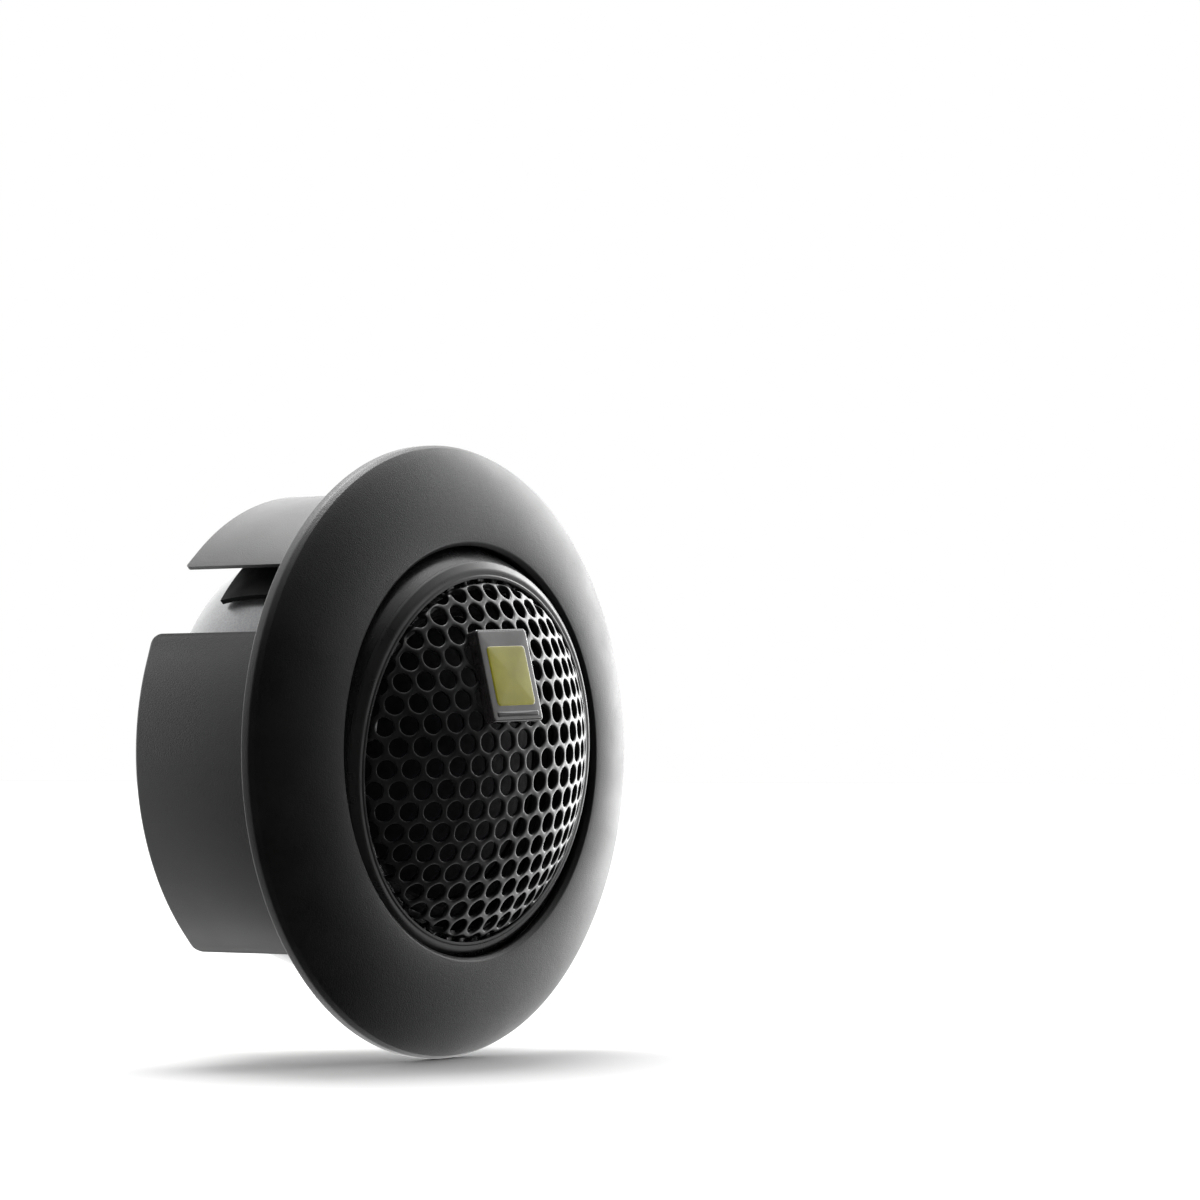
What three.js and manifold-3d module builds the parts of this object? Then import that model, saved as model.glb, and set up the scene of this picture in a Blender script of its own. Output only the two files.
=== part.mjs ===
// Flush-mount dome tweeter: a mounting cup that clips into a round panel hole and holds a swivelling ball.
// Axes: the cup's axis is Y, the front faces -Y and +Z is up. The origin is on the axis, in the plane of
// the flange's back face. Sizes are in millimetres.
import * as THREE from "three";
import { mergeVertices } from "three/addons/utils/BufferGeometryUtils.js";
import { RoundedBoxGeometry } from "three/addons/geometries/RoundedBoxGeometry.js";
import Module from "manifold-3d";

// Driving sizes
const ballDiameter = 40.8;
const ballCentreDepth = 6.6;
const ballTiltDegrees = 4.1;
const ballFlatDepth = 10.5;
const ballWall = 1.4;
const seatGap = 0.3;
const socketBand = 1.1;
const skirtWall = 1.2;
const skirtDepth = 15.2;
const flangeOverhang = 4;
const flangeHeight = 4.2;
const openingLand = 0.67;
const bezelInset = 2.9;
const bezelBand = 1.9;
const bezelHeight = 0.75;
const grilleWall = 1.15;
const grilleRise = 5.3;
const grilleFlatness = 2.25;
const grilleSheet = 0.5;
const holesAcross = 13.87;
const holeWeb = 0.57;
const holeRowsTurnDegrees = 4.4;
const badgeWidth = 6.4;
const badgeHeight = 8.2;
const badgeThickness = 0.6;
const badgeAcross = -2.9;
const badgeUp = 7.6;
const badgeTurnDegrees = 1.8;
const motorClearance = 3.4;
const surroundBand = 3.2;
const domeHeight = 5;
const coilWindingHeight = 2.2;
const poleGap = 0.5;
const magnetInset = 0.9;
const magnetHeight = 3;
const terminalBlockWidth = 17.8;
const terminalBladeLength = 7.4;

// Derived sizes shared by several pieces: each diameter follows the ball's through a named band or gap
const gap = 0.1;
const ballRadius = ballDiameter / 2;
const seatRadius = ballRadius + seatGap;
const innerBallRadius = ballRadius - ballWall;
const boreRadius = seatRadius + socketBand;
const skirtRadius = boreRadius + skirtWall;
const flangeRadius = skirtRadius + flangeOverhang;
const seatAt = (forward) => sphereRadiusAt(seatRadius, forward + ballCentreDepth);
const openingRadius = seatAt(flangeHeight - openingLand);
const bezelRadius = ballRadius - bezelInset;
const bezelSeat = sphereRadiusAt(ballRadius, bezelRadius);
const grilleRadius = bezelRadius - bezelBand;
const grilleRim = bezelSeat + grilleWall;
const holePitch = (2 * grilleRadius) / holesAcross;
const holeDiameter = holePitch - holeWeb;
const cupRadius = innerBallRadius - motorClearance;
const domeRadius = cupRadius - surroundBand;
const magnetRadius = domeRadius - magnetInset;
const tilt = THREE.MathUtils.degToRad(ballTiltDegrees);
const outerSegments = 48;
const innerSegments = 32;

const wasm = await Module();
wasm.setup();

const root = new THREE.Group();
const mount = new THREE.Group();
const capsule = new THREE.Group();
capsule.position.set(0, ballCentreDepth, 0);
capsule.rotation.x = tilt;
root.add(mount, capsule);

const materials = {
  softTouch: { color: 0x202022, roughness: 0.75, metalness: 0 },
  gloss: { color: 0x0b0b0c, roughness: 0.15, metalness: 0 },
  satin: { color: 0x161618, roughness: 0.45, metalness: 0 },
  paintedSteel: { color: 0x1a1a1b, roughness: 0.5, metalness: 0.3 },
  silver: { color: 0xc9cbcd, roughness: 0.3, metalness: 0.8 },
  steel: { color: 0xb9bcc0, roughness: 0.35, metalness: 1 },
  nickel: { color: 0xd2d0c8, roughness: 0.2, metalness: 1 },
  brass: { color: 0xc8a24a, roughness: 0.3, metalness: 1 },
  copper: { color: 0xb8642e, roughness: 0.4, metalness: 1 },
  silk: { color: 0x2b2d33, roughness: 0.8, metalness: 0 },
  foam: { color: 0x3a3a3c, roughness: 1, metalness: 0 },
  badgeBase: { color: 0x55585c, roughness: 0.3, metalness: 0.2 },
  badgeInlay: { color: 0xd9cf3f, roughness: 0.35, metalness: 0 },
  redWire: { color: 0xa31c1c, roughness: 0.5, metalness: 0 },
  blackWire: { color: 0x141414, roughness: 0.5, metalness: 0 },
};

// Adds one named mesh with its own material to a group.
function place(group, name, geometry, look) {
  const mesh = new THREE.Mesh(geometry, new THREE.MeshStandardMaterial(materials[look]));
  mesh.name = name;
  group.add(mesh);
  return mesh;
}

// A closed body of revolution about Y. The profile is a closed loop of [radius, y] points in either
// direction, or a line that starts and ends on the axis.
function revolve(profile, segments) {
  let area = 0;
  profile.forEach(([r, y], i) => {
    const [rNext, yNext] = profile[(i + 1) % profile.length];
    area += r * yNext - rNext * y;
  });
  const ordered = area > 0 ? profile : [...profile].reverse();
  const loop = ordered.map(([r, y]) => new THREE.Vector2(r, y));
  const onAxis = profile[0][0] === 0 && profile.at(-1)[0] === 0;
  if (!onAxis) loop.push(loop[0].clone());
  return new THREE.LatheGeometry(loop, segments);
}

// The same as revolve, for a profile given as [radius, forward], where forward points out of the front.
function revolveForward(profile, segments) {
  return revolve(profile.map(([r, forward]) => [r, -forward]), segments);
}

// Points [radius, forward] on a circle round (0, centre), from one forward height to another.
function sphereArc(radius, centre, from, to, steps) {
  const a = Math.acos(THREE.MathUtils.clamp((from - centre) / radius, -1, 1));
  const b = Math.acos(THREE.MathUtils.clamp((to - centre) / radius, -1, 1));
  return Array.from({ length: steps + 1 }, (_, i) => {
    const angle = a + ((b - a) * i) / steps;
    const r = angle < 1e-9 ? 0 : radius * Math.sin(angle);
    return [r, centre + radius * Math.cos(angle)];
  });
}

function sphereRadiusAt(radius, forward) {
  return Math.sqrt(radius ** 2 - forward ** 2);
}

// Manifold solids and geometries, for the pieces that are cut or joined.
function solid(geometry) {
  const bare = new THREE.BufferGeometry();
  bare.setAttribute("position", geometry.getAttribute("position"));
  bare.setIndex(geometry.index);
  const merged = mergeVertices(bare, 1e-3);
  return new wasm.Manifold(
    new wasm.Mesh({
      numProp: 3,
      vertProperties: merged.attributes.position.array,
      triVerts: new Uint32Array(merged.index.array),
    }),
  );
}

function geometryOf(body) {
  const mesh = body.getMesh();
  const geometry = new THREE.BufferGeometry();
  geometry.setAttribute("position", new THREE.BufferAttribute(mesh.vertProperties, 3));
  geometry.setIndex(new THREE.BufferAttribute(mesh.triVerts, 1));
  geometry.computeVertexNormals();
  return geometry;
}

function box(width, depth, height, x, y, z) {
  return new THREE.BoxGeometry(width, depth, height).translate(x, y, z);
}

function rodAlongY(radius, from, to, segments, x = 0, z = 0) {
  return new THREE.CylinderGeometry(radius, radius, Math.abs(to - from), segments)
    .translate(x, (from + to) / 2, z);
}

// A round wire along a curve, closed by a flat fan at each end.
function wire(curve, steps, radius, sides) {
  const frames = curve.computeFrenetFrames(steps, false);
  const points = [];
  const faces = [];
  for (let i = 0; i <= steps; i++) {
    const centre = curve.getPointAt(i / steps);
    for (let j = 0; j < sides; j++) {
      const angle = (2 * Math.PI * j) / sides;
      const offset = frames.normals[i].clone().multiplyScalar(radius * Math.cos(angle))
        .addScaledVector(frames.binormals[i], radius * Math.sin(angle));
      points.push(...centre.clone().add(offset).toArray());
    }
  }
  const start = points.length / 3;
  points.push(...curve.getPointAt(0).toArray(), ...curve.getPointAt(1).toArray());
  for (let j = 0; j < sides; j++) {
    const next = (j + 1) % sides;
    for (let i = 0; i < steps; i++) {
      const here = i * sides;
      faces.push(here + j, here + next, here + sides + next);
      faces.push(here + j, here + sides + next, here + sides + j);
    }
    faces.push(start, next, j);
    faces.push(start + 1, steps * sides + j, steps * sides + next);
  }
  const closed = new THREE.BufferGeometry();
  closed.setAttribute("position", new THREE.Float32BufferAttribute(points, 3));
  closed.setIndex(faces);
  closed.computeVertexNormals();
  return closed;
}

// Mounting cup: the convex flange in front and the skirt behind it. The skirt is open at the bottom and
// at each side, so that its walls flex and the beads inside them, which stop short of each wall's ends,
// snap over the ball.
const lipBack = flangeHeight - 1.6;
const skirtEnd = -skirtDepth;
const beadFront = skirtEnd + 1.9;
const flangeFace = new THREE.CubicBezierCurve(
  new THREE.Vector2(openingRadius + 0.35, flangeHeight),
  new THREE.Vector2(openingRadius + 3.4, flangeHeight - 0.05),
  new THREE.Vector2(flangeRadius - 1.6, flangeHeight - 1.5),
  new THREE.Vector2(flangeRadius - 0.25, 1.35),
)
  .getPoints(6)
  .map((p) => [p.x, p.y]);
const cupProfile = [
  [openingRadius, flangeHeight - 0.3],
  ...flangeFace,
  [flangeRadius, 0.9],
  [flangeRadius, 0.2],
  [flangeRadius - 0.2, 0],
  [skirtRadius, 0],
  [skirtRadius, skirtEnd + 0.3],
  [skirtRadius - 0.3, skirtEnd],
  [boreRadius, skirtEnd],
  [boreRadius, lipBack],
  [seatAt(lipBack) + 0.1, lipBack],
  [openingRadius, lipBack + 0.8],
];
// Wedge round the Y axis between two angles counted from +X towards +Z, behind the flange.
function wedge(fromDegrees, toDegrees) {
  const from = THREE.MathUtils.degToRad(fromDegrees);
  const to = THREE.MathUtils.degToRad(toDegrees);
  const reach = flangeRadius + 6;
  const shape = new THREE.Shape();
  shape.moveTo(0, 0);
  shape.lineTo(reach * Math.cos(from), reach * Math.sin(from));
  shape.lineTo(reach * Math.cos((from + to) / 2) * 1.2, reach * Math.sin((from + to) / 2) * 1.2);
  shape.lineTo(reach * Math.cos(to), reach * Math.sin(to));
  const depth = skirtDepth + 2;
  return new THREE.ExtrudeGeometry(shape, { depth, bevelEnabled: false })
    .rotateX(Math.PI / 2)
    .translate(0, depth, 0);
}
const skirtGaps = [
  [27.2, 45.5],
  [134.5, 152.8],
  [229.6, 310.4],
];
const beadProfile = [
  [skirtRadius - 0.4, skirtEnd + 0.4],
  [seatAt(skirtEnd + 0.4) + gap, skirtEnd + 0.4],
  [seatAt(beadFront) + gap, beadFront],
  [skirtRadius - 0.4, beadFront + 1.2],
];
const beadEndDegrees = 7;
let cupBody = solid(revolveForward(cupProfile, outerSegments));
let beads = solid(revolveForward(beadProfile, outerSegments));
for (const [from, to] of skirtGaps) {
  cupBody = cupBody.subtract(solid(wedge(from, to)));
  beads = beads.subtract(solid(wedge(from - beadEndDegrees, to + beadEndDegrees)));
}
place(mount, "mounting_cup", geometryOf(cupBody.add(beads)), "softTouch");

// Socket ring: turns in the cup's bore and carries the ball on its spherical seat.
const socketFront = lipBack - gap;
const socketBack = -3;
const socketRadius = boreRadius - 0.2;
place(
  mount,
  "socket_ring",
  revolveForward(
    [
      [seatAt(socketFront), socketFront],
      [socketRadius, socketFront],
      [socketRadius, socketBack],
      ...[socketBack, -1.2, 0.7].map((forward) => [seatAt(forward), forward]),
    ],
    outerSegments,
  ),
  "satin",
);

// Ball capsule, drawn in the ball's own frame: origin at the ball's centre, forward out of the grille.
const splitLine = 2;
const ledgeTop = bezelSeat - 0.1;
const ledgeBottom = ledgeTop - 0.6;
const tongueEnd = splitLine - 1.3;
const tongueInner = sphereRadiusAt(innerBallRadius, splitLine);
const tongueOuter = tongueInner + 0.7;
const ledgeInner = grilleRadius - 0.6;
place(
  capsule,
  "front_shell",
  revolveForward(
    [
      ...sphereArc(ballRadius, 0, splitLine, ledgeTop, 4),
      [ledgeInner, ledgeTop],
      [ledgeInner, ledgeBottom],
      ...sphereArc(innerBallRadius, 0, ledgeBottom, splitLine, 3),
      [tongueInner, tongueEnd],
      [tongueOuter, tongueEnd],
      [tongueOuter, splitLine],
    ],
    outerSegments,
  ),
  "gloss",
);

// Bezel ring: clamps the rim of the grille onto the front shell.
const bezelTop = bezelSeat + bezelHeight;
const clampTop = bezelSeat + 0.45;
place(
  capsule,
  "bezel_ring",
  revolveForward(
    [
      [bezelRadius, bezelSeat],
      [bezelRadius - 0.3, bezelSeat + 0.38],
      [bezelRadius - 0.65, bezelTop - 0.08],
      [bezelRadius - 0.85, bezelTop],
      [grilleRadius + 0.5, bezelTop],
      [grilleRadius + 0.35, bezelTop - 0.15],
      [grilleRadius + 0.35, clampTop],
      [grilleRadius + 0.85, clampTop],
      [grilleRadius + 0.85, bezelSeat],
    ],
    outerSegments,
  ),
  "satin",
);

// Grille: one pressed sheet, domed in the middle, with a short upright wall and a flat rim under the
// bezel. Its height falls with a power of the radius, so the crown is flatter than a sphere's.
const sheetTop = clampTop - gap;
const sheetBottom = bezelSeat;
const domeHeightAt = (r) => grilleRim + grilleRise * (1 - (r / grilleRadius) ** grilleFlatness);
const domeSlopeAt = (r) =>
  (-grilleRise * grilleFlatness * (r / grilleRadius) ** (grilleFlatness - 1)) / grilleRadius;
// Points [radius, forward] on the dome, moved out along its normal by an offset.
function domeProfile(offset, steps) {
  return Array.from({ length: steps + 1 }, (_, i) => {
    const r = (grilleRadius * i) / steps;
    const slope = domeSlopeAt(r);
    const length = Math.hypot(1, slope);
    return [r - (offset * slope) / length, domeHeightAt(r) + offset / length];
  });
}
const outerDome = domeProfile(0, 5);
const innerDome = domeProfile(-grilleSheet, 5).filter(([, forward]) => forward > sheetBottom + 0.05);
let grilleBody = solid(
  revolveForward(
    [
      ...outerDome,
      [grilleRadius + 0.12, sheetTop],
      [grilleRadius + 0.75, sheetTop],
      [grilleRadius + 0.75, sheetBottom],
      [innerDome.at(-1)[0], sheetBottom],
      ...innerDome.reverse(),
    ],
    outerSegments,
  ),
);
// Radius at which a path of a given length from the apex ends on the dome.
function radiusAlong(length) {
  const step = 0.05;
  let r = 0;
  let travelled = 0;
  while (travelled < length && r < grilleRadius) {
    travelled += step * Math.hypot(1, domeSlopeAt(r + step / 2));
    r += step;
  }
  return r - (travelled - length) / Math.hypot(1, domeSlopeAt(r));
}
// Turns a piece drawn round the -Y axis to stand square on the dome at a place across and up from its
// centre, with its base on the dome's outer face.
function standOnDome(object, across, up, turn) {
  const r = Math.hypot(across, up);
  const slope = domeSlopeAt(r);
  const normal = new THREE.Vector3(
    r > 0 ? (-slope * across) / r : 0,
    -1,
    r > 0 ? (-slope * up) / r : 0,
  ).normalize();
  object.position.set(across, -domeHeightAt(r), up);
  object.quaternion.setFromUnitVectors(new THREE.Vector3(0, -1, 0), normal);
  object.rotateY(-turn);
  object.updateMatrix();
  return object;
}
const latticeTurn = THREE.MathUtils.degToRad(holeRowsTurnDegrees);
const rowPitch = holePitch * Math.sqrt(0.75);
const rows = Math.ceil(grilleRadius / rowPitch) + 1;
const punch = new THREE.CylinderGeometry(holeDiameter / 2, holeDiameter / 2, 4 * grilleSheet, 6);
const holes = [];
for (let row = -rows; row <= rows; row++) {
  for (let column = -rows; column <= rows; column++) {
    const u = holePitch * (column + (Math.abs(row) % 2) / 2 + 0.13);
    const v = rowPitch * (row + 0.2);
    const angle = Math.atan2(v, u) + latticeTurn;
    const r = radiusAlong(Math.hypot(u, v));
    const across = r * Math.cos(angle);
    const up = r * Math.sin(angle);
    const clearOfBadge = Math.abs(across - badgeAcross) > (badgeWidth + holeDiameter) / 2 - 0.3
      || Math.abs(up - badgeUp) > (badgeHeight + holeDiameter) / 2 - 0.3;
    if (r < grilleRadius - holeDiameter / 2 - 0.2 && clearOfBadge) {
      const at = standOnDome(new THREE.Object3D(), across, up, 0);
      holes.push(solid(punch.clone().applyMatrix4(at.matrix)));
    }
  }
}
grilleBody = grilleBody.subtract(wasm.Manifold.union(holes));
place(capsule, "grille", geometryOf(grilleBody), "paintedSteel");

// Badge: a small rounded plate that sits square to the dome above its centre, with a plain inlay.
const badge = new THREE.Group();
standOnDome(badge, badgeAcross, badgeUp, THREE.MathUtils.degToRad(badgeTurnDegrees));
capsule.add(badge);
const plateDepth = badgeThickness + 1.2;
const inlayDepth = 0.25;
const aboveDome = solid(
  revolveForward([...domeProfile(gap, 12), [grilleRadius, 0], [0, 0]], outerSegments)
    .applyMatrix4(badge.matrix.clone().invert()),
);
const plateBody = solid(
  new RoundedBoxGeometry(badgeWidth, plateDepth, badgeHeight, 1, 0.35)
    .translate(0, plateDepth / 2 - badgeThickness, 0),
);
place(badge, "badge_plate", geometryOf(plateBody.subtract(aboveDome)), "badgeBase");
place(
  badge,
  "badge_inlay",
  new RoundedBoxGeometry(badgeWidth - 1.6, inlayDepth, badgeHeight - 2.9, 1, 0.1)
    .translate(0, -badgeThickness - inlayDepth / 2 - gap, -0.1),
  "badgeInlay",
);

// Diaphragm frame, its gasket and the surround that carries the dome.
const plateTop = 5;
const frameBase = plateTop + gap;
const frameInner = domeRadius + 1.6;
const shelf = 7.75;
const frameTop = ledgeBottom - 0.6;
place(
  capsule,
  "diaphragm_frame",
  revolveForward(
    [
      [frameInner, frameBase],
      [cupRadius + 0.15, frameBase],
      [cupRadius + 0.15, 3.2],
      [cupRadius + 1.4, 3.2],
      [cupRadius + 1.4, 6.6],
      [cupRadius + 0.6, 8],
      [cupRadius + 0.6, frameTop],
      [cupRadius - 0.15, frameTop],
      [cupRadius - 0.15, shelf],
      [frameInner, shelf],
    ],
    innerSegments,
  ),
  "satin",
);
place(
  capsule,
  "frame_gasket",
  revolveForward(
    [
      [cupRadius - 0.1, frameTop + gap],
      [cupRadius + 0.45, frameTop + gap],
      [cupRadius + 0.45, ledgeBottom - gap],
      [cupRadius - 0.1, ledgeBottom - gap],
    ],
    innerSegments,
  ),
  "foam",
);
const landing = shelf + gap;
const rollCentre = (domeRadius + 0.4 + cupRadius - 1.3) / 2;
const rollRadius = (cupRadius - 1.3 - (domeRadius + 0.4)) / 2;
const roll = (radius, from, to) =>
  Array.from({ length: 5 }, (_, i) => {
    const angle = Math.PI * (from + ((to - from) * i) / 4);
    return [rollCentre + radius * Math.cos(angle), landing + radius * Math.sin(angle)];
  });
place(
  capsule,
  "surround",
  revolveForward(
    [
      [domeRadius + 0.12, landing],
      ...roll(rollRadius - 0.2, 1, 0),
      [cupRadius - 0.3, landing],
      [cupRadius - 0.3, landing + 0.2],
      ...roll(rollRadius, 0.1, 0.9),
      [domeRadius + 0.12, landing + 0.2],
    ],
    innerSegments,
  ),
  "silk",
);

// Dome, former and voice coil: the moving assembly.
const domeEdge = landing - gap;
const domeSphere = (domeRadius ** 2 + domeHeight ** 2) / (2 * domeHeight);
const domeCentre = domeEdge + domeHeight - domeSphere;
const domeInner = domeSphere - 0.2;
place(
  capsule,
  "dome",
  revolveForward(
    [
      ...sphereArc(domeSphere, domeCentre, domeCentre + domeSphere, domeEdge, 6),
      [domeRadius + 0.35, domeEdge],
      [domeRadius + 0.35, domeEdge - 0.2],
      ...sphereArc(domeInner, domeCentre, domeEdge - 0.2, domeCentre + domeInner, 5),
    ],
    innerSegments,
  ),
  "silk",
);
const formerInner = domeRadius - 0.05;
const formerOuter = formerInner + 0.25;
const formerEnd = 2.5;
const tube = (inner, outer, back, front) => [
  [inner, back],
  [outer, back],
  [outer, front],
  [inner, front],
];
place(
  capsule,
  "coil_former",
  revolveForward(tube(formerInner, formerOuter, formerEnd, domeEdge - 0.3), innerSegments),
  "silver",
);
const coilBack = formerEnd + 0.2;
const coilOuter = formerOuter + 0.5;
place(
  capsule,
  "voice_coil",
  revolveForward(
    tube(formerOuter + gap, coilOuter, coilBack, coilBack + coilWindingHeight),
    innerSegments,
  ),
  "copper",
);

// Motor: top plate, magnet and return cup, held to the rear shell by one screw.
const polePlateRadius = domeRadius - 0.4;
const damperRadius = domeRadius - 2.9;
const plateBottom = plateTop - 1.9;
const magnetTop = plateBottom - gap;
const magnetBottom = magnetTop - magnetHeight;
const cupFloorTop = magnetBottom - gap;
const cupFloorBottom = cupFloorTop - 2.5;
const disc = (radius, back, front) => [
  [0, back],
  [radius, back],
  [radius, front],
  [0, front],
];
place(capsule, "top_plate", revolveForward(disc(polePlateRadius, plateBottom, plateTop), innerSegments), "nickel");
place(
  capsule,
  "magnet",
  revolveForward(disc(magnetRadius, magnetBottom, magnetTop), innerSegments),
  "nickel",
);
place(
  capsule,
  "dome_damper",
  revolveForward(
    [
      [0, plateTop + gap],
      [damperRadius, plateTop + gap],
      [damperRadius, plateTop + 1.2],
      [damperRadius - 1.2, plateTop + 1.8],
      [0, plateTop + 2.2],
    ],
    innerSegments,
  ),
  "foam",
);
const screwHole = 1.5;
place(
  capsule,
  "return_cup",
  revolveForward(
    [
      [screwHole, cupFloorTop],
      [coilOuter + poleGap, cupFloorTop],
      [coilOuter + poleGap, plateTop],
      [cupRadius, plateTop],
      [cupRadius, cupFloorBottom + 0.5],
      [cupRadius - 0.5, cupFloorBottom],
      [screwHole, cupFloorBottom],
    ],
    innerSegments,
  ),
  "nickel",
);

// Rear shell: closes the ball, with a pedestal for the motor and slots for the terminals.
const flatBack = -ballFlatDepth;
const floorTop = flatBack + 1.6;
const rebateEnd = tongueEnd - gap;
const rearInner = sphereRadiusAt(innerBallRadius, rebateEnd);
const counterboreTop = flatBack + 2.3;
const pedestalTop = cupFloorBottom - gap;
let rearBody = solid(
  revolveForward(
    [
      [tongueOuter + gap, splitLine - gap],
      ...sphereArc(ballRadius, 0, splitLine - gap, flatBack, 6),
      [3.2, flatBack],
      [3.2, counterboreTop],
      [screwHole, counterboreTop],
      [screwHole, pedestalTop],
      [4.5, pedestalTop],
      [4.9, floorTop],
      ...sphereArc(innerBallRadius, 0, floorTop, rebateEnd, 4),
      [tongueOuter + gap, rebateEnd],
    ],
    outerSegments,
  ),
);

const terminalHeight = -10.5;
const blades = [
  { pole: "positive", x: 3.4, width: 4.8 },
  { pole: "negative", x: -3, width: 2.8 },
];
const bladeThickness = 0.8;
const terminalScrewX = terminalBlockWidth / 2 - 1.7;
const blockBack = ballFlatDepth + gap + 2.2;
const blockFront = ballFlatDepth + gap;
let blockBody = solid(
  new RoundedBoxGeometry(terminalBlockWidth, 2.2, 5, 1, 0.4)
    .translate(0, (blockBack + blockFront) / 2, terminalHeight),
);
for (const { x, width } of blades) {
  const slot = solid(box(width + 0.2, 20, bladeThickness + 0.2, x, ballFlatDepth, terminalHeight));
  rearBody = rearBody.subtract(slot);
  blockBody = blockBody.subtract(slot);
}
for (const x of [terminalScrewX, -terminalScrewX]) {
  const hole = solid(rodAlongY(0.8, ballFlatDepth - 4, ballFlatDepth + 4, 12, x, terminalHeight));
  rearBody = rearBody.subtract(hole);
  blockBody = blockBody.subtract(hole);
}
place(capsule, "rear_shell", geometryOf(rearBody), "silver");
place(capsule, "terminal_block", geometryOf(blockBody), "satin");
place(
  capsule,
  "chamber_foam",
  revolveForward(tube(5.3, 8.6, floorTop + gap, floorTop + 5.2), innerSegments),
  "foam",
);

// A screw along Y: a domed head with a cross recess, its shank pointing forward.
function screw(headRadius, headHeight, shankRadius, headBack, shankEnd, x, z) {
  const headFront = headBack - headHeight;
  const body = solid(
    revolve(
      [
        [0, headBack],
        [headRadius * 0.6, headBack - headHeight * 0.06],
        [headRadius, headBack - headHeight * 0.5],
        [headRadius, headFront],
        [shankRadius, headFront],
        [shankRadius, shankEnd + shankRadius * 0.4],
        [shankRadius * 0.6, shankEnd],
        [0, shankEnd],
      ],
      16,
    ),
  );
  const reach = headRadius * 1.1;
  const slot = headRadius * 0.26;
  const recess = solid(box(reach, headHeight, slot, 0, headBack, 0))
    .add(solid(box(slot, headHeight, reach, 0, headBack, 0)));
  return geometryOf(body.subtract(recess)).translate(x, 0, z);
}
const washerTop = -counterboreTop + gap;
place(
  capsule,
  "motor_washer",
  revolve(tube(screwHole, 2.9, washerTop, washerTop + 0.4), 24),
  "steel",
);
place(
  capsule,
  "motor_screw",
  screw(2.5, 1.4, 1.3, washerTop + 0.5 + 1.4, -cupFloorTop + 0.2, 0, 0),
  "steel",
);
[terminalScrewX, -terminalScrewX].forEach((x, i) => {
  place(
    capsule,
    "terminal_screw_" + (i + 1),
    screw(1.3, 0.8, 0.65, blockBack + gap + 0.8, ballFlatDepth - 2.4, x, terminalHeight),
    "steel",
  );
});

// Terminal blades: flat tabs with a tapered end and a locking hole, their tails inside the ball.
const tailEnd = ballFlatDepth - 2.5;
const bladeEnd = blockBack + terminalBladeLength;
for (const { pole, x, width } of blades) {
  const outline = new THREE.Shape();
  outline.moveTo(-width / 2, tailEnd);
  outline.lineTo(width / 2, tailEnd);
  outline.lineTo(width / 2, bladeEnd - 0.8);
  outline.lineTo(width / 2 - 0.7, bladeEnd);
  outline.lineTo(-width / 2 + 0.7, bladeEnd);
  outline.lineTo(-width / 2, bladeEnd - 0.8);
  outline.closePath();
  const lockHole = new THREE.Path();
  lockHole.absarc(0, bladeEnd - 3.2, width > 4 ? 0.8 : 0.5, 0, Math.PI * 2, true);
  outline.holes.push(lockHole);
  const blade = new THREE.ExtrudeGeometry(outline, {
    depth: bladeThickness,
    bevelEnabled: false,
    curveSegments: 6,
  }).translate(x, 0, terminalHeight - bladeThickness / 2);
  place(capsule, "terminal_" + pole, blade, "brass");

  // Solder tag on the frame's shoulder, and the wire from it to the blade's tail.
  const side = Math.sign(x);
  const tagAngle = THREE.MathUtils.degToRad(side > 0 ? -35 : -145);
  const tagRadius = cupRadius + 1.95;
  place(
    capsule,
    "solder_tag_" + pole,
    new THREE.BoxGeometry(0.5, 2.2, 1.6)
      .rotateY(-tagAngle)
      .translate(tagRadius * Math.cos(tagAngle), -4.5, tagRadius * Math.sin(tagAngle)),
    "brass",
  );
  const along = (radius, degrees, forward) => {
    const angle = side > 0 ? degrees : 180 - degrees;
    const radians = THREE.MathUtils.degToRad(angle);
    return new THREE.Vector3(radius * Math.cos(radians), -forward, radius * Math.sin(radians));
  };
  const route = new THREE.CatmullRomCurve3([
    along(cupRadius + 1.6, -35, 2.7),
    along(cupRadius + 1.7, -38, 0.5),
    along(cupRadius + 1.5, -46, -3),
    along(cupRadius - 0.6, -58, -6),
    new THREE.Vector3(x, tailEnd - 1.6, terminalHeight - 1.2),
    new THREE.Vector3(x, tailEnd - 0.7, terminalHeight),
  ]);
  place(
    capsule,
    "lead_wire_" + pole,
    wire(route, 14, 0.4, 6),
    pole === "positive" ? "redWire" : "blackWire",
  );
}

export default root;
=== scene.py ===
"""Flush-mount dome tweeter: smooth surfaces, finishes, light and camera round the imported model."""

import math

import bmesh
import bpy
import numpy as np
from mathutils import Matrix, Vector


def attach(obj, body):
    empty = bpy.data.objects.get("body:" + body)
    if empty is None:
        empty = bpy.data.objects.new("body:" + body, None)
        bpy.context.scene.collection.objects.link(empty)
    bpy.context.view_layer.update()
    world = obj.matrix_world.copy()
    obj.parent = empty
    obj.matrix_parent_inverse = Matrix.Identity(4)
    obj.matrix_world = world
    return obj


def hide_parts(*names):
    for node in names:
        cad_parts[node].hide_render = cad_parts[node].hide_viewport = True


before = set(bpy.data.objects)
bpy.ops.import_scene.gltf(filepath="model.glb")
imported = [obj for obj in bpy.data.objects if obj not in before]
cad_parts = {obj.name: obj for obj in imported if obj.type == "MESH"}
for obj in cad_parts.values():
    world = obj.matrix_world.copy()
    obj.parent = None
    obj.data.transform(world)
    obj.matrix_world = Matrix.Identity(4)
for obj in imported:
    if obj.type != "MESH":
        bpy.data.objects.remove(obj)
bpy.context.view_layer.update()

MM = 0.001

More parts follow.
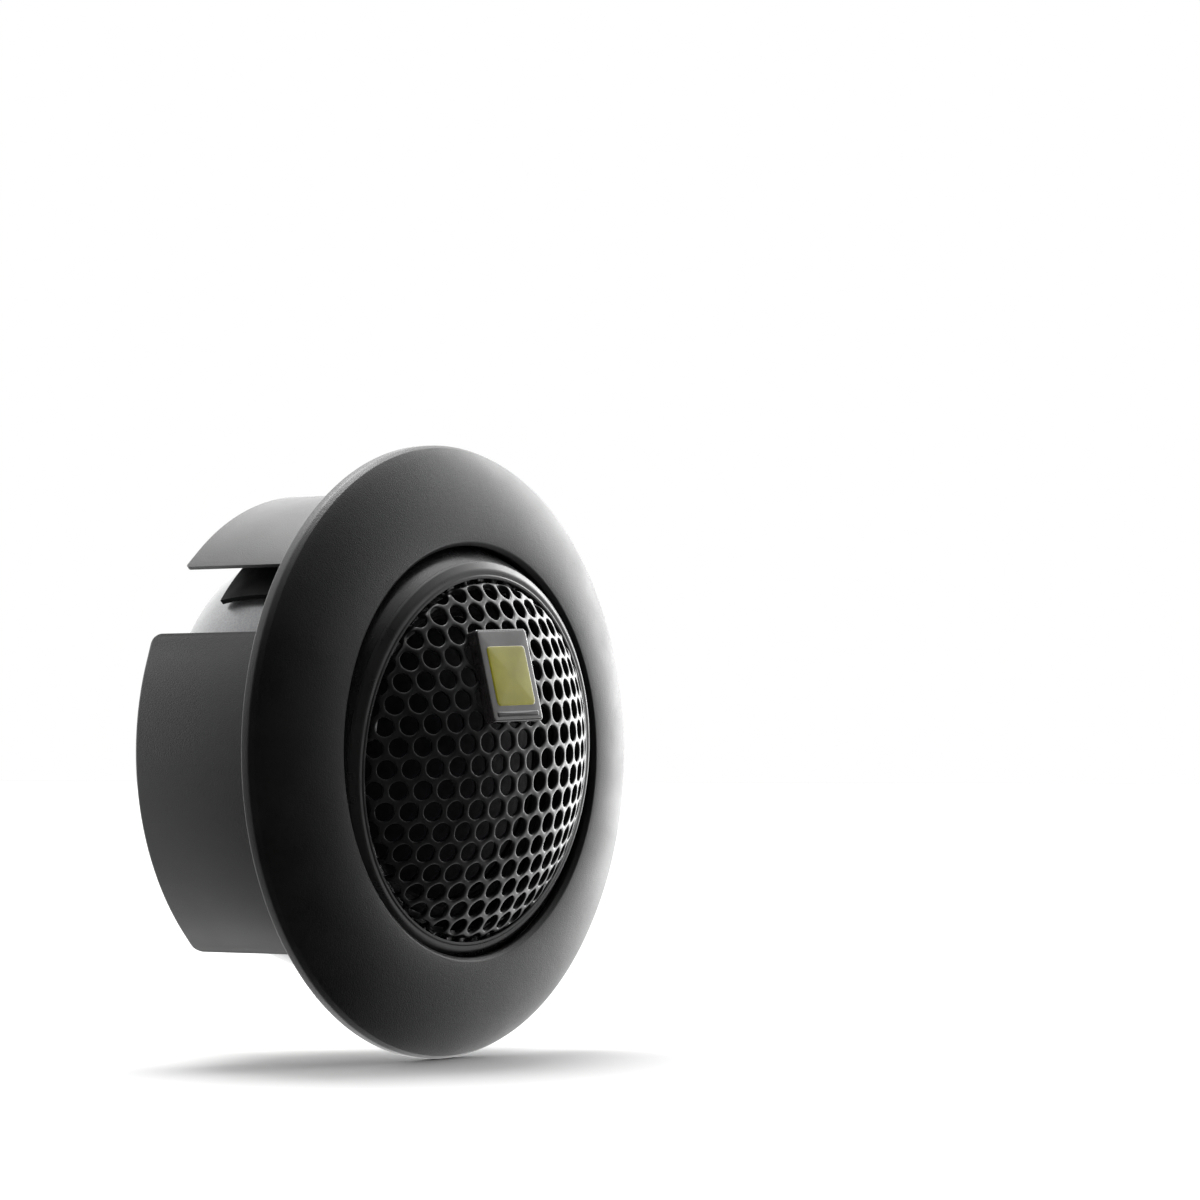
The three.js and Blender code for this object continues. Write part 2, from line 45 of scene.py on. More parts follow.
# Sizes in millimetres, the same as the solids' except for the grille's holes, which are a little wider.
FLANGE_RADIUS = 27.0
FLANGE_HEIGHT = 4.2
OPENING_RADIUS = 18.05
SKIRT_RADIUS = 23.0
SKIRT_WALL = 1.2
SKIRT_DEPTH = 15.2
BALL_RADIUS = 20.4
BALL_WALL = 1.4
BALL_CENTRE = 6.6
BALL_TILT = math.radians(4.1)
SEAT_RADIUS = BALL_RADIUS + 0.3
BEZEL_RADIUS = 17.5
BEZEL_HEIGHT = 0.75
GRILLE_RADIUS = 15.6
GRILLE_WALL = 1.15
GRILLE_RISE = 5.3
GRILLE_FLATNESS = 2.25
GRILLE_SHEET = 0.5
HOLE_PITCH = 2.25
HOLE_RADIUS = 0.9
LATTICE_TURN = math.radians(4.4)
BADGE_WIDTH = 6.4
BADGE_HEIGHT = 8.2
BADGE_THICKNESS = 0.6
BADGE_PLACE = (-2.9, 7.6)
BADGE_TURN = math.radians(1.8)
FLAT_BACK = 10.5
DOME_RADIUS = 12.4
DOME_HEIGHT = 5.0
LANDING = 7.85
ROLL_INNER = 12.8
ROLL_OUTER = 14.3
CLOTH = 0.2
BLOCK_WIDTH = 17.8
BLOCK_DEPTH = 2.2
BLOCK_HEIGHT = 5.0
TERMINAL_HEIGHT = -10.5
TERMINAL_SCREWS = (7.2, -7.2)
BLADES = {"positive": (3.4, 4.8), "negative": (-3.0, 2.8)}
SOCKET_BACK = -3.0
SHELL_SPLIT = 2.0

BORE_RADIUS = SKIRT_RADIUS - SKIRT_WALL
BEZEL_SEAT = math.sqrt(BALL_RADIUS**2 - BEZEL_RADIUS**2)
GRILLE_RIM = BEZEL_SEAT + GRILLE_WALL
INNER_BALL = BALL_RADIUS - BALL_WALL


# ---------------------------------------------------------------- mesh helpers

def make_object(name, points, faces, sharp=32.0, weld=1e-3):
    """A mesh from points in millimetres, with coincident points merged, faces turned outwards and
    every edge sharper than an angle in degrees kept crisp."""
    mesh = bpy.data.meshes.new(name)
    faces = faces.tolist() if isinstance(faces, np.ndarray) else faces
    mesh.from_pydata((np.asarray(points, float) * MM).tolist(), [], faces)
    work = bmesh.new()
    work.from_mesh(mesh)
    bmesh.ops.remove_doubles(work, verts=work.verts, dist=weld * MM)
    bmesh.ops.dissolve_degenerate(work, edges=work.edges, dist=weld * MM * 0.5)
    bmesh.ops.recalc_face_normals(work, faces=work.faces)
    work.to_mesh(mesh)
    work.free()
    mesh.shade_smooth()
    mesh.set_sharp_from_angle(angle=math.radians(sharp))
    piece = bpy.data.objects.new(name, mesh)
    bpy.context.scene.collection.objects.link(piece)
    return piece


def grid_faces(rows, columns, wrap_rows=False, wrap_columns=False):
    """Quads between neighbouring points of a grid stored row by row, closed on itself where asked."""
    i = np.arange(rows if wrap_rows else rows - 1)[:, None]
    j = np.arange(columns if wrap_columns else columns - 1)[None, :]
    i2, j2 = (i + 1) % rows, (j + 1) % columns
    corners = [i * columns + j, i * columns + j2, i2 * columns + j2, i2 * columns + j]
    return np.stack([c + 0 * (i + j) for c in corners], -1).reshape(-1, 4)


def rounded(corners, steps=5):
    """A closed outline whose corners, given as (a, b, radius), become arcs of that radius. Each arc is
    the rational quadratic curve from one tangent point to the other, with half the corner's angle as
    its weight, and a radius is limited to what its two sides leave room for."""
    places = np.array([c[:2] for c in corners], float)
    radii = np.array([c[2] for c in corners], float)
    before, after = np.roll(places, 1, 0) - places, np.roll(places, -1, 0) - places
    len_before, len_after = np.linalg.norm(before, axis=1), np.linalg.norm(after, axis=1)
    before, after = before / len_before[:, None], after / len_after[:, None]
    half = np.arccos(np.clip((before * after).sum(1), -1, 1)) / 2
    reach = np.minimum(radii / np.tan(half), 0.49 * np.minimum(len_before, len_after))
    weight = np.sin(half)
    t = np.linspace(0, 1, steps)[None, :, None]
    start = (places + before * reach[:, None])[:, None]
    end = (places + after * reach[:, None])[:, None]
    middle, w = places[:, None], weight[:, None, None]
    top = start * (1 - t) ** 2 + 2 * w * middle * t * (1 - t) + end * t**2
    return (top / ((1 - t) ** 2 + 2 * w * t * (1 - t) + t**2)).reshape(-1, 2)


def turned(profile, segments, start=0.0, stop=2 * math.pi):
    """A closed outline of (radius, forward) points carried round the Y axis, where forward is -Y. A
    part turn gets a flat cap at each end."""
    profile = np.asarray(profile, float)
    full = stop - start > 2 * math.pi - 1e-6
    angles = np.linspace(start, stop, segments + (not full), endpoint=not full)[:, None]
    radius, forward = profile[:, 0][None], profile[:, 1][None]
    points = np.stack(
        [radius * np.cos(angles), -forward + 0 * angles, radius * np.sin(angles)], -1
    ).reshape(-1, 3)
    faces = grid_faces(len(angles), len(profile), full, True).tolist()
    if not full:
        last = len(points) - len(profile)
        faces.append(list(range(len(profile))))
        faces.append(list(range(len(points) - 1, last - 1, -1)))
    return points, faces


def on_ball(points):
    """Moves points from the ball's own frame into the model's: turned about X by the ball's tilt and
    set back to the ball's centre."""
    c, s = math.cos(BALL_TILT), math.sin(BALL_TILT)
    x, y, z = np.asarray(points, float).T
    return np.stack([x, c * y - s * z + BALL_CENTRE, s * y + c * z], -1)


def lathe(name, corners, segments=192, ball=False, steps=5, sharp=32.0):
    """A full turn of a rounded outline, in the model's frame or in the ball's."""
    points, faces = turned(rounded(corners, steps), segments)
    return make_object(name, on_ball(points) if ball else points, faces, sharp)


def arc(radius, start, stop, count, centre=0.0):
    """Corners (radius, forward, 0) on a circle round a point of the axis, between two forward heights."""
    forward = np.linspace(start, stop, count)
    return [(math.sqrt(max(radius**2 - (f - centre) ** 2, 0)), f, 0.0) for f in forward]


def seat(forward, extra=0.0):
    """Radius of the ball's seat at a forward height in the model's frame."""
    return math.sqrt(SEAT_RADIUS**2 - (forward + BALL_CENTRE) ** 2) + extra


def finish_piece(piece, body, material, slot, *nodes):
    """Gives a piece its finish, ties it to its body and lets it stand for its solids."""
    piece.data.materials.clear()
    piece.data.materials.append(material)
    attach(piece, body)
    if nodes:
        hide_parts(*nodes)
    return piece


# ---------------------------------------------------------------- finishes

class Finish:
    """A node material with one Principled shader and helpers that add and join nodes."""

    def __init__(self, name, colour, roughness, metallic=0.0, **sockets):
        self.material = bpy.data.materials.new(name)
        self.material.use_nodes = True
        self.tree = self.material.node_tree
        self.shader = self.tree.nodes["Principled BSDF"]
        self.shader.inputs["Base Color"].default_value = (*colour, 1)
        self.shader.inputs["Roughness"].default_value = roughness
        self.shader.inputs["Metallic"].default_value = metallic
        for key, value in sockets.items():
            self.shader.inputs[key.replace("_", " ")].default_value = value
        self.place = self.node("ShaderNodeTexCoord").outputs["Object"]

    def node(self, kind, **settings):
        made = self.tree.nodes.new(kind)
        for key, value in settings.items():
            if key in made.inputs:
                made.inputs[key].default_value = value
            else:
                setattr(made, key, value)
        return made

    def join(self, source, target):
        self.tree.links.new(source, target)

    def noise(self, scale, detail=3.0, roughness=0.5, place=None):
        made = self.node("ShaderNodeTexNoise", Scale=scale, Detail=detail, Roughness=roughness)
        self.join(place or self.place, made.inputs["Vector"])
        return made.outputs["Fac"]

    def spread(self, value, low, high, start=0.3, stop=0.7):
        made = self.node("ShaderNodeMapRange")
        for key, number in (("From Min", start), ("From Max", stop), ("To Min", low), ("To Max", high)):
            made.inputs[key].default_value = number
        self.join(value, made.inputs["Value"])
        return made.outputs["Result"]

    def tint(self, value, dark, light, start=0.3, stop=0.7):
        made = self.node("ShaderNodeValToRGB")
        first, last = made.color_ramp.elements
        first.position, last.position = start, stop
        first.color, last.color = (*dark, 1), (*light, 1)
        self.join(value, made.inputs["Fac"])
        self.join(made.outputs["Color"], self.shader.inputs["Base Color"])
        return made.outputs["Color"]

    def rough(self, value, low, high, start=0.3, stop=0.7):
        self.join(self.spread(value, low, high, start, stop), self.shader.inputs["Roughness"])

    def bump(self, height, strength, distance, under=None):
        made = self.node("ShaderNodeBump", Strength=strength, Distance=distance)
        self.join(height, made.inputs["Height"])
        if under:
            self.join(under, made.inputs["Normal"])
        self.join(made.outputs["Normal"], self.shader.inputs["Normal"])
        return made.outputs["Normal"]


def soft_touch():
    """Rubbery paint: near black, broad sheen, a fine moulded grain and faint handling marks."""
    f = Finish("soft_touch_black", (0.006, 0.006, 0.0062), 0.4, Specular_IOR_Level=0.44)
    fine, broad = f.noise(9000, 2.0, 0.6), f.noise(160, 4.0, 0.6)
    f.tint(broad, (0.005, 0.005, 0.0052), (0.0075, 0.0075, 0.0078))
    f.rough(broad, 0.37, 0.45)
    f.bump(f.noise(1300, 2.0), 0.05, 0.0001, f.bump(fine, 0.6, 0.00004))
    return f.material


def gloss_black():
    """Semi-gloss black shell: dark, with soft reflections and a little waviness."""
    f = Finish("shell_gloss_black", (0.008, 0.008, 0.0085), 0.24)
    f.rough(f.noise(420, 3.0), 0.2, 0.3)
    f.bump(f.noise(3800, 2.0), 0.08, 0.00004, f.bump(f.noise(90, 2.0), 0.04, 0.0003))
    return f.material


def satin_black(name="bezel_satin_black", base=0.011, low=0.26, high=0.36, specular=0.5):
    """Satin enamel with a fine even grain."""
    f = Finish(name, (base, base, base * 1.04), low, Specular_IOR_Level=specular)
    f.tint(f.noise(300, 4.0), (base * 0.85,) * 3, (base * 1.15,) * 3)
    f.rough(f.noise(700, 3.0), low, high)
    f.bump(f.noise(4200, 2.0), 0.12, 0.00004)
    return f.material


def grille_enamel():
    """Powder-coated steel: satin black with orange peel, a shade lighter where the coat is thin."""
    f = Finish("grille_black_enamel", (0.008, 0.008, 0.0083), 0.3, 0.0, Coat_Weight=0.2, Coat_Roughness=0.25)
    f.tint(f.noise(260, 3.0), (0.006, 0.006, 0.0062), (0.011, 0.011, 0.0114))
    f.rough(f.noise(1500, 3.0), 0.28, 0.42)
    f.bump(f.noise(2600, 2.0), 0.2, 0.00005)
    return f.material


def silver_lacquer():
    """Silver paint: fine metal flake under lacquer."""
    f = Finish("shell_silver", (0.13, 0.132, 0.135), 0.34, 0.6, Coat_Weight=0.15, Coat_Roughness=0.2)
    flake = f.node("ShaderNodeTexVoronoi", Scale=5000)
    f.join(f.place, flake.inputs["Vector"])
    f.tint(flake.outputs["Distance"], (0.11, 0.112, 0.115), (0.15, 0.152, 0.155), 0.1, 0.7)
    f.rough(f.noise(500, 3.0), 0.3, 0.36)
    f.bump(f.noise(260, 2.0), 0.03, 0.0002)
    return f.material


def plated(name, dark, light, low=0.15, high=0.35, scratch=0.12):
    """Plated metal: tone and polish vary softly, with fine drawn lines along one direction."""
    f = Finish(name, light, low, 1.0)
    turn = f.node("ShaderNodeMapping")
    turn.inputs["Scale"].default_value = (1.0, 14.0, 1.0)
    f.join(f.place, turn.inputs["Vector"])
    f.tint(f.noise(500, 4.0), dark, light)
    f.rough(f.noise(900, 3.0), low, high)
    f.bump(f.noise(1800, 2.0, 0.5, turn.outputs["Vector"]), scratch, 0.00003)
    return f.material


def cloth(name, dark, light, scale, sheen):
    """Coated weave: two crossed bands of threads, softly lit at grazing angles."""
    f = Finish(name, light, 0.8, Sheen_Weight=sheen, Sheen_Roughness=0.4, Specular_IOR_Level=0.12)
    f.tint(f.noise(900, 3.0), dark, light)
    bands = []
    for direction in ("X", "Z"):
        made = f.node("ShaderNodeTexWave", wave_type="BANDS", bands_direction=direction, Scale=scale)
        f.join(f.place, made.inputs["Vector"])
        bands.append(made.outputs["Fac"])
    both = f.node("ShaderNodeMath", operation="MULTIPLY")
    f.join(bands[0], both.inputs[0])
    f.join(bands[1], both.inputs[1])
    f.rough(f.noise(1400, 2.0), 0.7, 0.9)
    f.bump(both.outputs["Value"], 0.35, 0.00005)
    return f.material


def porous(name, dark, light, scale):
    """Felt or foam: cells of uneven depth and tone."""
    f = Finish(name, light, 0.95, Sheen_Weight=0.2)
    cells = f.node("ShaderNodeTexVoronoi", Scale=scale)
    f.join(f.place, cells.inputs["Vector"])
    f.tint(cells.outputs["Distance"], dark, light, 0.1, 0.8)
    f.bump(cells.outputs["Distance"], 0.6, 0.0003)
    return f.material


def resin(name, dark, light, roughness):
    """Poured resin over a printed panel: glossy skin, soft tone below."""
    f = Finish(name, light, roughness, Coat_Weight=1.0, Coat_Roughness=0.05, Specular_IOR_Level=0.5)
    f.tint(f.noise(300, 3.0), dark, light)
    f.bump(f.noise(220, 2.0), 0.05, 0.0002)
    return f.material


def wire_skin(name, colour):
    """Soft insulation with a faint mottle."""
    f = Finish(name, colour, 0.45)
    f.tint(f.noise(900, 3.0), tuple(0.75 * c for c in colour), colour)
    f.bump(f.noise(2500, 2.0), 0.1, 0.00005)
    return f.material


flange_paint = soft_touch()
shell_gloss = gloss_black()
trim_satin = satin_black()
socket_satin = satin_black("socket_satin_black", 0.008, 0.4, 0.5)
# Near-black, low-gloss finish of the strips that paint the shade between the top wall and the ball.
shade_strip_matte = satin_black("shade_strip_matte_black", 0.004, 0.55, 0.7, 0.12)
frame_satin = satin_black("frame_satin_black", 0.009, 0.45, 0.6)
grille_paint = grille_enamel()
silver = silver_lacquer()
zinc = plated("screw_zinc", (0.3, 0.31, 0.33), (0.42, 0.43, 0.45), 0.22, 0.36)
nickel = plated("motor_nickel", (0.58, 0.57, 0.54), (0.7, 0.69, 0.65), 0.12, 0.25)
brass = plated("contact_brass", (0.72, 0.52, 0.2), (0.86, 0.67, 0.32), 0.2, 0.34)
copper = plated("coil_copper", (0.6, 0.24, 0.1), (0.8, 0.38, 0.18), 0.25, 0.4, 0.4)
aluminium = plated("former_aluminium", (0.7, 0.71, 0.72), (0.8, 0.81, 0.82), 0.2, 0.3)
silk = cloth("dome_silk", (0.003, 0.003, 0.004), (0.007, 0.006, 0.008), 3200, 0.03)
felt = porous("damper_felt", (0.03, 0.03, 0.03), (0.09, 0.09, 0.09), 4200)
badge_dark = resin("badge_smoked_black", (0.012, 0.011, 0.011), (0.022, 0.02, 0.02), 0.15)
badge_grey = resin("badge_smoked_grey", (0.09, 0.087, 0.086), (0.15, 0.146, 0.145), 0.2)
badge_yellow = resin("badge_inlay_yellow", (0.25, 0.23, 0.022), (0.36, 0.335, 0.035), 0.22)
red_wire = wire_skin("wire_red", (0.45, 0.02, 0.02))
black_wire = wire_skin("wire_black", (0.02, 0.02, 0.02))


# ---------------------------------------------------------------- cup and socket

def flange():
    """The convex ring: its face is the cubic curve between the lip and the rim that the solid has."""
    t = np.linspace(0, 1, 14)[:, None]
    knots = np.array([
        [OPENING_RADIUS + 0.35, FLANGE_HEIGHT],
        [OPENING_RADIUS + 3.4, FLANGE_HEIGHT - 0.05],
        [FLANGE_RADIUS - 1.6, FLANGE_HEIGHT - 1.5],
        [FLANGE_RADIUS - 0.25, 1.35],
    ])
    face = (
        knots[0] * (1 - t) ** 3 + 3 * knots[1] * t * (1 - t) ** 2
        + 3 * knots[2] * t**2 * (1 - t) + knots[3] * t**3
    )
    lip_back = FLANGE_HEIGHT - 1.6
    corners = [(OPENING_RADIUS, FLANGE_HEIGHT - 0.35, 0.3)]
    corners += [(r, f, 0.25 if k in (0, 13) else 0.0) for k, (r, f) in enumerate(face)]
    corners += [
        (FLANGE_RADIUS, 0.85, 0.5),
        (FLANGE_RADIUS, 0.0, 0.18),
        (BORE_RADIUS, 0.0, 0.05),
        (BORE_RADIUS, lip_back, 0.1),
        (seat(lip_back, 0.1), lip_back, 0.05),
        (OPENING_RADIUS, lip_back + 0.8, 0.15),
    ]
    return lathe("flange", corners, 288)


def swept_wall(name, corners, start, stop, edge, thin=1.0, corner=0.0):
    """A rounded outline carried through part of a turn, its stations closer together near the ends. Over
    the last stretch the inside eases out to a share of the wall, and the rear edge follows a quarter
    circle round each end corner."""
    ease_length, stations = 2.5, 90
    profile = rounded(corners, 4)
    share = 0.5 - 0.5 * np.cos(np.linspace(0, math.pi, stations))
    angles = np.radians(start + (stop - start) * share)[:, None]
    inward = SKIRT_RADIUS * np.minimum(angles - angles[0], angles[-1] - angles)
    ease = np.clip(inward / ease_length, 0, 1)
    ease = thin + (1 - thin) * ease * ease * (3 - 2 * ease)
    near = np.clip(corner - inward, 0, corner)
    drop = corner - np.sqrt(corner**2 - near**2)
    radius = SKIRT_RADIUS - (SKIRT_RADIUS - profile[:, 0][None]) * ease
    forward = np.maximum(profile[:, 1][None], profile[:, 1].min() + drop)
    points = np.stack([radius * np.cos(angles), -forward, radius * np.sin(angles)], -1).reshape(-1, 3)
    faces = grid_faces(len(angles), len(profile), False, True).tolist()
    last = len(points) - len(profile)
    faces += [list(range(len(profile))), list(range(len(points) - 1, last - 1, -1))]
    piece = make_object(name, points, faces, 40, weld=2e-3)
    bevel = piece.modifiers.new("edges", "BEVEL")
    bevel.width, bevel.segments, bevel.limit_method = edge * MM, 3, "ANGLE"
    bevel.angle_limit = math.radians(60)
    bevel.harden_normals = True
    return piece


def skirt_wall(name, start, stop, corner):
    """One springy wall of the skirt."""
    return swept_wall(name, [
        (SKIRT_RADIUS, 0.6, 0.0),
        (SKIRT_RADIUS, -SKIRT_DEPTH, 0.3),
        (BORE_RADIUS, -SKIRT_DEPTH, 0.3),
        (BORE_RADIUS, 0.6, 0.0),
    ], start, stop, 0.08, 0.3, corner)


def snap_bead(name, start, stop):
    """The bead inside a wall that holds the ball, ending some degrees short of the wall's ends."""
    back, front, inside_wall, short = -SKIRT_DEPTH + 0.4, -SKIRT_DEPTH + 1.9, SKIRT_RADIUS - 0.5, 9
    return swept_wall(name, [
        (inside_wall, back, 0.0),
        (seat(back, 0.1), back, 0.3),
        (seat(front, 0.1), front, 0.3),
        (inside_wall, front + 1.2, 0.0),
    ], start + short, stop - short, 0.1, 0.35)


def shade_strip(name, start, stop):
    """A thin dark strip that follows the ball back inside the top wall's end: painted shade, a dark sheet
    standing for the shadow between the wall and the ball.
    """
    front, back, thickness = SOCKET_BACK + 0.5, -11.6, 0.5
    inner = [(seat(f), f, 0.0) for f in np.linspace(front, back, 14)]
    outer = [(seat(f, thickness), f, 0.0) for f in np.linspace(back, front, 14)]
    points, faces = turned(rounded(inner + outer, 2), 24, math.radians(start), math.radians(stop))
    return make_object(name, points, faces, 40)


def skirt_foot(name, start, stop):
    """The small fillet where a wall leaves the flange's back: a quarter-round strip outside it."""
    radius, sunk = 0.5, 0.3
    quarter = np.linspace(0, math.pi / 2, 6)
    fillet = [(SKIRT_RADIUS + radius * (1 - math.sin(a)), radius * (math.cos(a) - 1)) for a in quarter]
    profile = [
        (SKIRT_RADIUS - sunk, sunk), (SKIRT_RADIUS + radius, sunk), *fillet,
        (SKIRT_RADIUS - sunk, -radius),
    ]
    points, faces = turned(profile, 72, math.radians(start + 0.6), math.radians(stop - 0.6))
    return make_object(name, points, faces)


# Each wall's start and stop in degrees from +X towards +Z, and the radius of its rear corners.
WALLS = {"right": (-49.6, 26.2, 1.1), "top": (44.4, 135.6, 0.5), "left": (153.8, 229.6, 1.1)}
# Start and stop in degrees of the two dark strips of painted shade, inside the top wall's ends.
SHADE_STRIPS = {"left": (126, 140.5), "right": (39.5, 54)}

finish_piece(flange(), "mount", flange_paint, "flange_plastic", "mounting_cup")
for name, (start, stop, corner) in WALLS.items():
    for piece in (
        skirt_wall(f"skirt_wall_{name}", start, stop, corner),
        skirt_foot(f"skirt_foot_{name}", start, stop),
        snap_bead(f"snap_bead_{name}", start, stop),
    ):
        finish_piece(piece, "mount", flange_paint, "flange_plastic", "mounting_cup")
# The strips of painted shade ride on the socket.
for name, (start, stop) in SHADE_STRIPS.items():
    finish_piece(shade_strip(f"shade_strip_{name}", start, stop), "socket", shade_strip_matte,
                 "trim_satin")

socket_front = FLANGE_HEIGHT - 1.7
socket = lathe("socket_ring_smooth", [
    (seat(socket_front), socket_front, 0.1),
    (BORE_RADIUS - 0.2, socket_front, 0.15),
    (BORE_RADIUS - 0.2, SOCKET_BACK, 0.15),
    (seat(SOCKET_BACK), SOCKET_BACK, 0.1),
    (seat(-1.2), -1.2, 0.0),
    (seat(0.7), 0.7, 0.0),
], 192)
finish_piece(socket, "socket", socket_satin, "trim_satin", "socket_ring")


# ---------------------------------------------------------------- ball

ledge_top, ledge_bottom = BEZEL_SEAT - 0.1, BEZEL_SEAT - 0.7
tongue_inner = math.sqrt(INNER_BALL**2 - SHELL_SPLIT**2)
tongue_outer, tongue_end = tongue_inner + 0.7, SHELL_SPLIT - 1.3
front = lathe("front_shell_smooth", [
    *arc(BALL_RADIUS, SHELL_SPLIT + 0.12, BEZEL_SEAT - 0.01, 30),
    (BEZEL_RADIUS - 0.25, BEZEL_SEAT - 0.01, 0.0),
    (BEZEL_RADIUS - 0.3, ledge_top, 0.0),
    (GRILLE_RADIUS - 0.6, ledge_top, 0.1),
    (GRILLE_RADIUS - 0.6, ledge_bottom, 0.1),
    *arc(INNER_BALL, ledge_bottom, SHELL_SPLIT, 8),
    (tongue_inner, tongue_end, 0.0),
    (tongue_outer, tongue_end, 0.0),
    (tongue_outer, SHELL_SPLIT, 0.0),
    (BALL_RADIUS - 0.28, SHELL_SPLIT, 0.0),
], 224, ball=True)
finish_piece(front, "capsule", shell_gloss, "shell_gloss", "front_shell")

bezel_top, clamp_top = BEZEL_SEAT + BEZEL_HEIGHT, BEZEL_SEAT + 0.45
bezel = lathe("bezel_ring_smooth", [
    (BEZEL_RADIUS, BEZEL_SEAT, 0.0),
    (BEZEL_RADIUS - 0.12, BEZEL_SEAT + 0.2, 0.2),
    (BEZEL_RADIUS - 0.75, bezel_top - 0.04, 0.6),
    (GRILLE_RADIUS + 0.72, bezel_top - 0.06, 0.1),
    (GRILLE_RADIUS + 0.6, bezel_top + 0.02, 0.08),
    (GRILLE_RADIUS + 0.36, bezel_top + 0.02, 0.1),
    (GRILLE_RADIUS + 0.33, clamp_top, 0.04),
    (GRILLE_RADIUS + 0.85, clamp_top, 0.03),
    (GRILLE_RADIUS + 0.85, BEZEL_SEAT, 0.03),
], 288, ball=True, steps=7, sharp=60)
finish_piece(bezel, "capsule", trim_satin, "trim_satin", "bezel_ring")

rear = lathe("rear_shell_smooth", [
    (tongue_outer + 0.1, SHELL_SPLIT - 0.1, 0.0),
    (BALL_RADIUS - 0.3, SHELL_SPLIT - 0.1, 0.0),
    *arc(BALL_RADIUS, SHELL_SPLIT - 0.25, -FLAT_BACK + 0.5, 40),
    (math.sqrt(BALL_RADIUS**2 - FLAT_BACK**2) - 0.15, -FLAT_BACK, 0.5),
    (15.9, -FLAT_BACK, 0.1),
    (15.7, -FLAT_BACK + 0.25, 0.1),
    (4.9, -FLAT_BACK + 0.25, 0.1),
    (4.7, -FLAT_BACK, 0.1),
    (3.2, -FLAT_BACK, 0.15),
    (3.2, -FLAT_BACK + 2.3, 0.1),
    (1.5, -FLAT_BACK + 2.3, 0.1),
    (1.5, -2.8, 0.1),
    (4.5, -2.8, 0.2),
    (4.9, -FLAT_BACK + 1.6, 0.3),
    *arc(INNER_BALL, -FLAT_BACK + 1.6, tongue_end - 0.1, 12),
    (tongue_outer + 0.1, tongue_end - 0.1, 0.0),
], 224, ball=True)
finish_piece(rear, "capsule", silver, "shell_silver", "rear_shell")


# ---------------------------------------------------------------- grille and badge

def dome_height(r):
    """Forward height of the dome: the rim's height plus the rise times one less a power of the radius."""
    return GRILLE_RIM + GRILLE_RISE * (1 - (np.clip(r, 0, None) / GRILLE_RADIUS) ** GRILLE_FLATNESS)


def dome_slope(r):
    """Change of the dome's height with radius."""
    power = (np.clip(r, 0, None) / GRILLE_RADIUS) ** (GRILLE_FLATNESS - 1)
    return -GRILLE_RISE * GRILLE_FLATNESS * power / GRILLE_RADIUS


def pressed_path():
    """The pressed sheet's outer outline as lengths along it with radius and height at each: the dome,
    a short wall down from its rim and a flat rim outwards, with a rounded turn between each two."""
    edge_bend, flat_width = 0.22, 0.74
    dome_end = GRILLE_RADIUS - edge_bend
    dome_r = np.linspace(0, dome_end, 300)
    start = float(dome_height(dome_end))
    heading = math.atan(-float(dome_slope(dome_end)))
    turn = np.linspace(heading, math.pi / 2, 16)
    bend = edge_bend / (1 - math.sin(heading))
    bend_r = dome_end + bend * (np.sin(turn) - math.sin(heading))
    bend_t = start - bend * (math.cos(heading) - np.cos(turn))
    flat, fillet = BEZEL_SEAT + 0.35, 0.14
    foot = np.linspace(0, math.pi / 2, 12)
    foot_r = bend_r[-1] + fillet * (1 - np.cos(foot))
    foot_t = flat + fillet * (1 - np.sin(foot))
    r = np.concatenate([dome_r, bend_r[1:], foot_r, [GRILLE_RADIUS + flat_width]])
    t = np.concatenate([dome_height(dome_r), bend_t[1:], foot_t, [flat]])
    length = np.concatenate([[0], np.cumsum(np.hypot(np.diff(r), np.diff(t)))])
    return length, r, t


path_length, path_r, path_t = pressed_path()


def sheet_point(u, v, depth):
    """A point of the pressed sheet. Distance from the centre is laid along the pressed outline, and
    depth runs inwards along its normal."""
    along = np.hypot(u, v)
    on_path = np.minimum(along, path_length[-1])
    step = 0.02
    r, t = np.interp(on_path, path_length, path_r), np.interp(on_path, path_length, path_t)
    low, high = np.clip(on_path - step, 0, None), np.clip(on_path + step, None, path_length[-1])
    dr = np.interp(high, path_length, path_r) - np.interp(low, path_length, path_r)
    dt = np.interp(high, path_length, path_t) - np.interp(low, path_length, path_t)
    length = np.hypot(dr, dt)
    r_in, t_in = r + depth * dt / length, t - depth * dr / length
    safe = np.maximum(along, 1e-9)
    return np.stack([r_in * u / safe, -t_in, r_in * v / safe], -1)


def cell_centres():
    """Centres of the hole rows on the flat sheet, as far out as the sheet reaches, as two columns."""
    rows = np.arange(-11, 12)
    row, column = (a.ravel() for a in np.meshgrid(rows, rows))
    u = HOLE_PITCH * (column + (np.abs(row) % 2) / 2 + 0.13)
    v = HOLE_PITCH * math.sqrt(0.75) * (row + 0.2)
    c, s = math.cos(LATTICE_TURN), math.sin(LATTICE_TURN)
    u, v = c * u - s * v, s * u + c * v
    keep = np.hypot(u, v) < path_length[-1] + 0.4
    return u[keep][:, None], v[keep][:, None]


def open_sides(outlines):
    """Finds the sides of the cells' outlines that no second cell shares, from corners rounded to
    1/200 mm, as a table with a row for each cell."""
    cells, sides = outlines.shape[:2]
    key = np.round(outlines * 200).astype(np.int64).reshape(-1, 3)
    _, corner = np.unique(key, axis=0, return_inverse=True)
    corner = corner.reshape(cells, sides)
    after = np.roll(corner, -1, 1)
    low, high = np.minimum(corner, after), np.maximum(corner, after)
    code = (low * (corner.max() + 1) + high).ravel()
    _, which, count = np.unique(code, return_inverse=True, return_counts=True)
    return (count[which.reshape(-1)] == 1).reshape(cells, sides)


